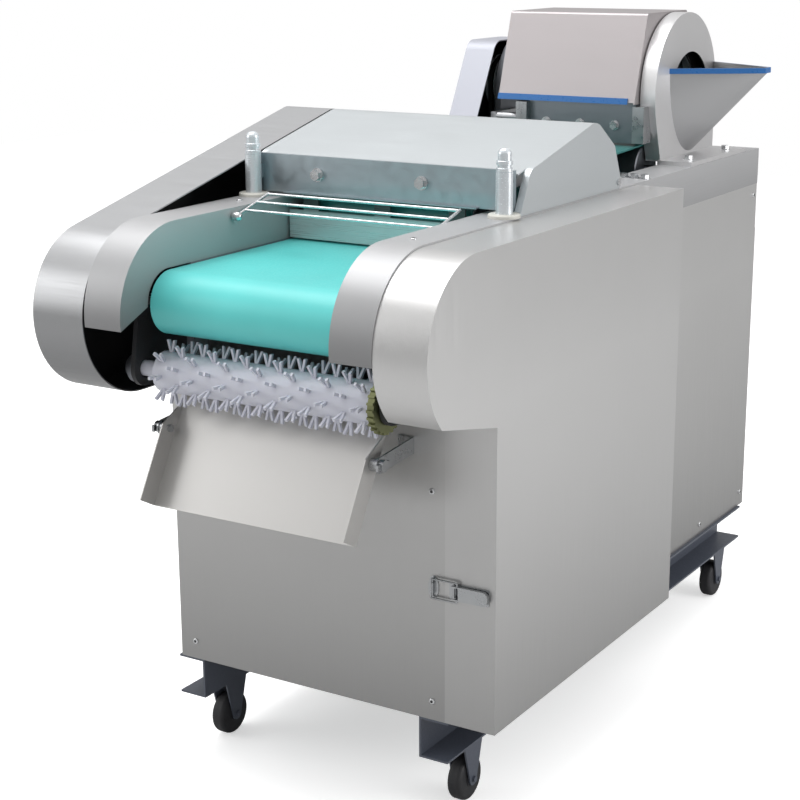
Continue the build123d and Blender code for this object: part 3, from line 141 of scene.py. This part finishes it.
def brushed(name, color, rough, stretch, contrast=0.05, metallic=0.8, height_shade=(0.62, 0.15, 0.7), hollow=None):
    """Steel with lines along the axis that has the smallest stretch.

    The tuple after metallic holds a factor and two heights for painted shade: the steel is darkest, by the
    factor, at the first height and plain at the second. Hollow is a point inside a bent cover: faces that
    look towards it get painted shade, near black, rough and not metallic.
    """
    graph = Graph(name)
    lines = graph.noise(grain, 2.0, stretch)
    clouds = graph.noise(cloud, 2.0)
    height = graph.add("ShaderNodeSeparateXYZ", {"Vector": graph.place}).outputs["Z"]
    factor, low, high = height_shade
    base = graph.mix(lines, shade(color, 1 - contrast), shade(color, 1 + contrast))
    tone = graph.mix(graph.spread(clouds, 0.0, 0.5), base, shade(color, 0.93))
    # painted shade: the tone darkens by the factor between the two heights, darkest at the first
    tone = graph.mix(graph.spread(height, 1.0, 0.0, low, high), tone, shade(color, factor))
    rough = graph.spread(lines, rough - 0.05, rough + 0.08)
    # painted shade: faces that look towards the hollow point turn near black, rough and not metallic
    if hollow:
        inside = graph.faces_towards(hollow)
        tone = graph.mix(inside, tone, rgba(hollow_shade))
        rough = graph.blend(inside, rough, 0.8)
        metallic = graph.blend(inside, metallic, 0.0)
    graph.bump(lines, 0.04, 0.0004)
    return graph.finish(base_color=tone, metallic=metallic, roughness=rough)


def plated(name, color, rough, patch=0.12, metallic=1.0):
    """Plated or cast metal: cloudy patches with no direction."""
    graph = Graph(name)
    patches = graph.noise(60.0, 4.0)
    tone = graph.mix(patches, shade(color, 1 - patch), shade(color, 1 + patch))
    graph.bump(graph.noise(700.0, 2.0), 0.05, 0.0005)
    rough = graph.spread(patches, rough, rough + 0.12)
    return graph.finish(base_color=tone, metallic=metallic, roughness=rough)


def painted(name, color, rough, speckle=0.05):
    graph = Graph(name)
    fine = graph.noise(250.0, 3.0)
    broad = graph.noise(5.0, 2.0)
    tone = graph.mix(broad, shade(color, 1 - speckle), shade(color, 1 + speckle))
    graph.bump(fine, 0.06, 0.0005)
    rough = graph.spread(fine, rough - 0.04, rough + 0.06)
    return graph.finish(base_color=tone, metallic=0.0, roughness=rough)


upright_lines = (1.0, 1.0, 0.01)
length_lines = (1.0, 0.01, 1.0)
width_lines = (0.01, 1.0, 1.0)
steel_warm = (0.6, 0.597, 0.592)
# points inside the left cover, the slicer head and the belt guard; their inner faces get painted shade
pod_middle = (-0.3035, -0.28, 0.83)
drum_middle = (0.1835, 0.5065, 0.935)
guard_middle = (-0.19, 0.5085, 1.04)
# painted shade by height, from the tuple after metallic: most steel darkens below 0.7 m, the left cover
# below 0.92 m, the deck below 0.93 m
looks = {
    "panel": brushed("panel steel", steel_warm, 0.34, upright_lines, height_shade=(0.5, 0.15, 0.7)),
    "cover": brushed("cover steel", (0.61, 0.607, 0.603), 0.34, upright_lines),
    "pod": brushed("left cover steel", (0.5, 0.505, 0.515), 0.34, width_lines, 0.05, 0.8, (0.42, 0.7, 0.92),
                   pod_middle),
    "chute": brushed("chute steel", (0.6, 0.59, 0.575), 0.42, upright_lines),
    "deck": brushed("deck steel", (0.46, 0.462, 0.47), 0.42, length_lines, 0.05, 0.5, (0.5, 0.77, 0.93)),
    "hood": brushed("hood steel", (0.58, 0.61, 0.625), 0.42, width_lines, 0.02),
    "slicer": brushed("slicer box steel", (0.43, 0.4, 0.405), 0.4, width_lines),
    "head": brushed("slicer head steel", (0.72, 0.715, 0.72), 0.36, upright_lines, hollow=drum_middle),
    "hopper": brushed("hopper steel", (0.42, 0.422, 0.43), 0.38, upright_lines),
    "guard": brushed("guard steel", (0.44, 0.45, 0.5), 0.45, upright_lines, 0.02, 0.4, hollow=guard_middle),
    # painted shadow under the knife beam: the blade turns near black above 0.914 m
    "ground": brushed("ground steel", (0.6, 0.64, 0.64), 0.3, width_lines, 0.02, 0.5, (0.12, 0.914, 0.906)),
    "post": brushed("post steel", (0.72, 0.76, 0.79), 0.2, width_lines, 0.03, 0.5),
    "zinc blue": plated("blue zinc plate", (0.38, 0.44, 0.47), 0.3, 0.04),
    "zinc dark": plated("dark zinc plate", (0.23, 0.25, 0.27), 0.3, 0.04),
    "zinc worn": plated("worn zinc plate", (0.4, 0.41, 0.42), 0.24, 0.15),
    "zinc bright": plated("bright zinc plate", (0.66, 0.67, 0.68), 0.2, 0.06),
    "cast": plated("dark cast steel", (0.2, 0.21, 0.23), 0.4),
    "frame": painted("frame paint", (0.16, 0.17, 0.185), 0.5),
    "rail": painted("rail paint", (0.075, 0.085, 0.11), 0.42),
    "cream": painted("cream paint", (0.6, 0.59, 0.54), 0.35),
    "olive": plated("olive plate", (0.22, 0.23, 0.12), 0.4),
    "motor": painted("motor paint", (0.12, 0.17, 0.22), 0.45),
    # painted shade: near black for the inner brackets and the screw recesses
    "inside": painted("painted shade black", (0.02, 0.021, 0.023), 0.6),
}
print("metals:", len(looks))

# %% [markdown]
# ## Belts, plastic and rubber
# A conveyor belt has a fine crosswise grain and a soft sheen. The roller's nylon lets a little light in,
# which keeps its shadows pale. The wheels get a rough, nearly black rubber.


# %%
# Soft materials
def belt_cover(name, color, rough):
    graph = Graph(name)
    weave = graph.noise(500.0, 2.0, (1.0, 0.5, 1.0))
    wear = graph.noise(9.0, 3.0)
    tone = graph.mix(graph.spread(wear, 0.0, 1.0), shade(color, 0.95), shade(color, 1.05))
    graph.bump(weave, 0.08, 0.0005)
    return graph.finish(base_color=tone, roughness=graph.spread(weave, rough - 0.04, rough + 0.08))


def nylon(name, color):
    graph = Graph(name)
    soft = graph.noise(35.0, 2.0)
    tone = graph.mix(soft, shade(color, 0.97), shade(color, 1.03))
    graph.bump(soft, 0.05, 0.001)
    graph.shader.inputs["Subsurface Weight"].default_value = 0.25
    graph.shader.inputs["Subsurface Radius"].default_value = (0.004, 0.004, 0.005)
    return graph.finish(base_color=tone, roughness=graph.spread(soft, 0.3, 0.4))


def rubber(name, color):
    graph = Graph(name)
    dust = graph.noise(40.0, 4.0)
    tone = graph.mix(graph.spread(dust, 0.0, 0.6), rgba(color), shade(color, 1.9))
    graph.bump(graph.noise(400.0, 2.0), 0.1, 0.0006)
    return graph.finish(base_color=tone, roughness=graph.spread(dust, 0.5, 0.65))


looks["belt green"] = belt_cover("pale green belt", (0.11, 0.6, 0.58), 0.36)
looks["belt dark"] = belt_cover("dark green belt", (0.02, 0.16, 0.15), 0.36)
looks["v belt"] = rubber("drive belt rubber", (0.012, 0.012, 0.012))
looks["nylon"] = nylon("white nylon", (0.6, 0.61, 0.68))
looks["tyre"] = rubber("wheel rubber", (0.014, 0.014, 0.016))
looks["blue"] = painted("blue edge strip", (0.02, 0.125, 0.36), 0.3)
print("all looks:", len(looks))

# %% [markdown]
# ## Every CAD node gets a look
# One dictionary says which look goes on which pieces. A loop then swaps the plain imported material for it
# and stops with an error if a piece was forgotten.

# %%
# Assign the looks
wears = {
    "panel": ["front_panel", "left_panel", "right_panel", "rear_panel"],
    "chute": ["chute"],
    "cover": ["right_cover"],
    "pod": ["left_cover"],
    "deck": ["side_beam_left", "side_beam_right"],
    "hood": ["hood"],
    "slicer": ["discharge_box"],
    "guard": ["belt_guard"],
    "ground": ["knife_blade"],
    "head": ["disc_housing"],
    "hopper": ["hopper"],
    "post": ["guide_posts", "post_caps", "spindle"],
    "zinc blue": ["knife_beam"],
    "zinc dark": ["lip_plate"],
    "zinc worn": ["latch_base", "latch_lever", "latch_bail", "chute_bolts", "chute_brackets", "lip_blocks"],
    "zinc bright": [
        "gate_bolts", "head_bolts", "panel_screws", "guard_pivots", "wire_guard", "box_pins", "hood_hinges",
        "nose_drum", "rear_drum",
    ],
    "cast": [
        "crosshead", "crankshaft", "shaft_bearings", "bearing_plate", "slicing_disc", "press_front_roller",
        "press_rear_roller",
    ],
    "frame": ["inner_frame", "belt_bed"],
    "inside": ["inner_brackets"],
    "rail": ["base_rails", "wheel_forks"],
    "cream": ["guide_bushes"],
    "olive": ["roller_gear"],
    "motor": ["motors"],
    "belt green": ["conveyor_belt"],
    "belt dark": ["press_belt"],
    "v belt": ["drive_belts"],
    "nylon": ["finger_roller"],
    "tyre": [f"wheel_{end}_{side}" for end in ("front", "rear") for side in ("left", "right")],
    "blue": ["box_trim", "hopper_rim"],
}
look_of = {node: look for look, group in wears.items() for node in group}
for name, piece in nodes.items():
    piece.data.materials.clear()
    piece.data.materials.append(looks[look_of[name]])
print("dressed nodes:", len(look_of))

# %% [markdown]
# ## Recesses in the panel screws
# The front panel screws in the photograph have a dark recess. Its shade is painted: one small, near-black
# six-sided plug, placed on each screw and turned to face outwards. It is the same on every screw here, so it
# is a job for
# Geometry Nodes. The places come from the CAD node itself. Its mesh falls into islands, one for each screw,
# and a screw head is thinnest along the way it faces.

# %%
# Find where each screw faces
recess_radius = 0.0026
recess_depth = 0.0006


def islands(mesh):
    """The separate lumps of a mesh, each as a list of its points."""
    group = list(range(len(mesh.vertices)))

    def root(index):
        while group[index] != index:
            group[index] = group[group[index]]
            index = group[index]
        return index

    places = {}
    for index, vertex in enumerate(mesh.vertices):
        first = places.setdefault(tuple(round(part, 6) for part in vertex.co), index)
        group[root(index)] = root(first)
    for edge in mesh.edges:
        group[root(edge.vertices[0])] = root(edge.vertices[1])
    lumps = {}
    for index, vertex in enumerate(mesh.vertices):
        lumps.setdefault(root(index), []).append(vertex.co)
    return list(lumps.values())


def outer_face(points):
    """The middle of a screw's outer face and the way it faces."""
    low = Vector([min(point[axis] for point in points) for axis in range(3)])
    high = Vector([max(point[axis] for point in points) for axis in range(3)])
    size, centre = high - low, (low + high) / 2
    axis = min(range(3), key=lambda item: size[item])
    outward = Vector((0, 0, 0))
    outward[axis] = 1.0 if centre[axis] > 0 else -1.0
    return centre + outward * size[axis] / 2, outward


screws = [outer_face(points) for points in islands(nodes["panel_screws"].data)]
print("screws:", len(screws))

# %% [markdown]
# The tree takes the points, puts a plug on each, makes the copies real and gives them their material. The
# plug is half sunk in the head, so it sits in the screw and doesn't float above it.


# %%
# Build the tree
def plug_tree(material):
    tree = bpy.data.node_groups.new("plug on points", "GeometryNodeTree")
    sockets = {
        "Geometry": "NodeSocketGeometry", "Radius": "NodeSocketFloat", "Depth": "NodeSocketFloat",
        "Sides": "NodeSocketInt",
    }
    for name, kind in sockets.items():
        tree.interface.new_socket(name, in_out="INPUT", socket_type=kind)
    tree.interface.new_socket("Geometry", in_out="OUTPUT", socket_type="NodeSocketGeometry")
    kinds = {
        "given": "NodeGroupInput",
        "plug": "GeometryNodeMeshCylinder",
        "way": "GeometryNodeInputNamedAttribute",
        "turn": "FunctionNodeAlignRotationToVector",
        "copy": "GeometryNodeInstanceOnPoints",
        "real": "GeometryNodeRealizeInstances",
        "paint": "GeometryNodeSetMaterial",
        "out": "NodeGroupOutput",
    }
    made = {name: tree.nodes.new(kind) for name, kind in kinds.items()}
    made["way"].data_type = "FLOAT_VECTOR"
    made["way"].inputs["Name"].default_value = "outward"
    made["turn"].axis = "Z"
    made["paint"].inputs["Material"].default_value = material
    links = (
        ("given", "Sides", "plug", "Vertices"), ("given", "Radius", "plug", "Radius"),
        ("given", "Depth", "plug", "Depth"), ("given", "Geometry", "copy", "Points"),
        ("plug", "Mesh", "copy", "Instance"), ("way", "Attribute", "turn", "Vector"),
        ("turn", "Rotation", "copy", "Rotation"), ("copy", "Instances", "real", "Geometry"),
        ("real", "Geometry", "paint", "Geometry"), ("paint", "Geometry", "out", "Geometry"),
    )
    for source, leaving, target, entering in links:
        tree.links.new(made[source].outputs[leaving], made[target].inputs[entering])
    return tree


def plugs(name, faces, radius, depth, sides, look):
    """One plain mesh with a plug on every face given as a place and a way outwards."""
    mesh = bpy.data.meshes.new(name + "_points")
    mesh.from_pydata([place for place, outward in faces], [], [])
    ways = mesh.attributes.new("outward", "FLOAT_VECTOR", "POINT")
    for item, (place, outward) in zip(ways.data, faces):
        item.vector = outward
    carrier = bpy.data.objects.new(name, mesh)
    bpy.context.scene.collection.objects.link(carrier)
    modifier = carrier.modifiers.new("plugs", "NODES")
    modifier.node_group = plug_tree(looks[look])
    sizes = {"Radius": radius, "Depth": depth, "Sides": sides}
    for item in modifier.node_group.interface.items_tree:
        if item.in_out == "INPUT" and item.name in sizes:
            modifier[item.identifier] = sizes[item.name]
    evaluated = carrier.evaluated_get(bpy.context.evaluated_depsgraph_get())
    plain = bpy.data.meshes.new_from_object(evaluated)
    carrier.modifiers.remove(modifier)
    carrier.data = plain
    return carrier


# painted shade: a near-black plug stands for the dark of each screw recess
recess_shades = plugs("screw_recess_shades", screws, recess_radius, recess_depth, 6, "inside")
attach(recess_shades, "machine")
print("recess corners:", len(recess_shades.data.vertices))

# %% [markdown]
# ## The studio
# The floor and the sky are pale, and white to the camera. What the steel mirrors is darker than that: a grey
# floor and a sky that grows brighter upwards, so that a bent sheet shows its shape. Large soft lamps do the
# rest.


# %%
# Floor, sky and lamps
floor_glow = 0.5
floor_seen = 0.88
floor_mirrored = 0.6
sky_low = 0.42
sky_high = 0.9


def seen_directly(tree):
    """One for the rays that leave the camera or pass through glass, zero for light and mirror images."""
    path = tree.nodes.new("ShaderNodeLightPath")
    both = tree.nodes.new("ShaderNodeMath")
    both.operation = "MAXIMUM"
    tree.links.new(path.outputs["Is Camera Ray"], both.inputs[0])
    tree.links.new(path.outputs["Is Transmission Ray"], both.inputs[1])
    return both.outputs[0]


scene = bpy.context.scene
world = bpy.data.worlds.new("studio")
world.use_nodes = True
scene.world = world
tree = world.node_tree
sky = tree.nodes["Background"]
sky.inputs["Color"].default_value = (1.0, 1.0, 1.0, 1.0)
split = tree.nodes.new("ShaderNodeSeparateXYZ")
tree.links.new(tree.nodes.new("ShaderNodeTexCoord").outputs["Generated"], split.inputs[0])
rise = tree.nodes.new("ShaderNodeMapRange")
tree.links.new(split.outputs["Z"], rise.inputs["Value"])
rise.inputs["To Min"].default_value = sky_low
rise.inputs["To Max"].default_value = sky_high
strength = tree.nodes.new("ShaderNodeMapRange")
tree.links.new(seen_directly(tree), strength.inputs["Value"])
tree.links.new(rise.outputs["Result"], strength.inputs["To Min"])
strength.inputs["To Max"].default_value = 1.0
tree.links.new(strength.outputs["Result"], sky.inputs["Strength"])

floor_size = 14.0
floor_mesh = bpy.data.meshes.new("studio_floor")
half = floor_size / 2
corners = [(-half, -half, 0), (half, -half, 0), (half, half, 0), (-half, half, 0)]
floor_mesh.from_pydata(corners, [], [(0, 1, 2, 3)])
floor = bpy.data.objects.new("studio_floor", floor_mesh)
scene.collection.objects.link(floor)
floor_look = Graph("studio floor")
seen = seen_directly(floor_look.tree)
white, grey = (floor_seen,) * 3, (floor_mirrored,) * 3
pale = floor_look.mix(floor_look.noise(3.0), shade(white, 0.99), shade(white, 1.01))
glow = floor_look.add("ShaderNodeMath", {0: seen, 1: floor_glow}, operation="MULTIPLY").outputs[0]
floor_tone = floor_look.mix(seen, rgba(grey), pale)
glow_color = rgba((1, 1, 1))
floor_look.finish(base_color=floor_tone, roughness=0.8, emission_color=glow_color, emission_strength=glow)
floor_mesh.materials.append(floor_look.material)


def lamp(name, place, aim, size, power):
    """A square area lamp that looks from its place to its aim."""
    data = bpy.data.lights.new(name, "AREA")
    data.shape = "SQUARE"
    data.size = size
    data.energy = power
    obj = bpy.data.objects.new(name, data)
    obj.location = place
    obj.rotation_euler = (Vector(aim) - Vector(place)).to_track_quat("-Z", "Y").to_euler()
    scene.collection.objects.link(obj)


middle = (0.0, 0.0, 0.6)
lamp("top softbox", (-0.7, -0.4, 3.4), middle, 2.4, 65)
lamp("left softbox", (-3.0, -2.4, 1.8), middle, 2.0, 35)
lamp("right softbox", (3.4, 0.6, 1.6), middle, 2.2, 55)
print("lamps:", len(bpy.data.lights))

# %% [markdown]
# ## The camera
# The photograph was taken from the right front, a little above the deck, with a long lens. The angles below
# were worked out from the machine's straight edges.

# %%
# Camera from three angles
azimuth, elevation, roll = (math.radians(angle) for angle in (31.80, 14.95, -0.31))
camera_place = Vector((1.5070, -2.6591, 1.3503))
right = Vector((math.cos(azimuth), math.sin(azimuth), 0))
level = math.cos(elevation)
back = Vector((math.sin(azimuth) * level, -math.cos(azimuth) * level, math.sin(elevation)))
up = back.cross(right)
turned_right = right * math.cos(roll) + up * math.sin(roll)
turned_up = up * math.cos(roll) - right * math.sin(roll)
camera_data = bpy.data.cameras.new("photo camera")
camera_data.sensor_width = 36.0
camera_data.lens = 78.1
camera = bpy.data.objects.new("photo camera", camera_data)
axes = Matrix((turned_right, turned_up, back)).transposed().to_4x4()
camera.matrix_world = Matrix.Translation(camera_place) @ axes
scene.collection.objects.link(camera)
scene.camera = camera
scene.view_settings.view_transform = "Standard"
print("camera at", tuple(round(part, 3) for part in camera_place))
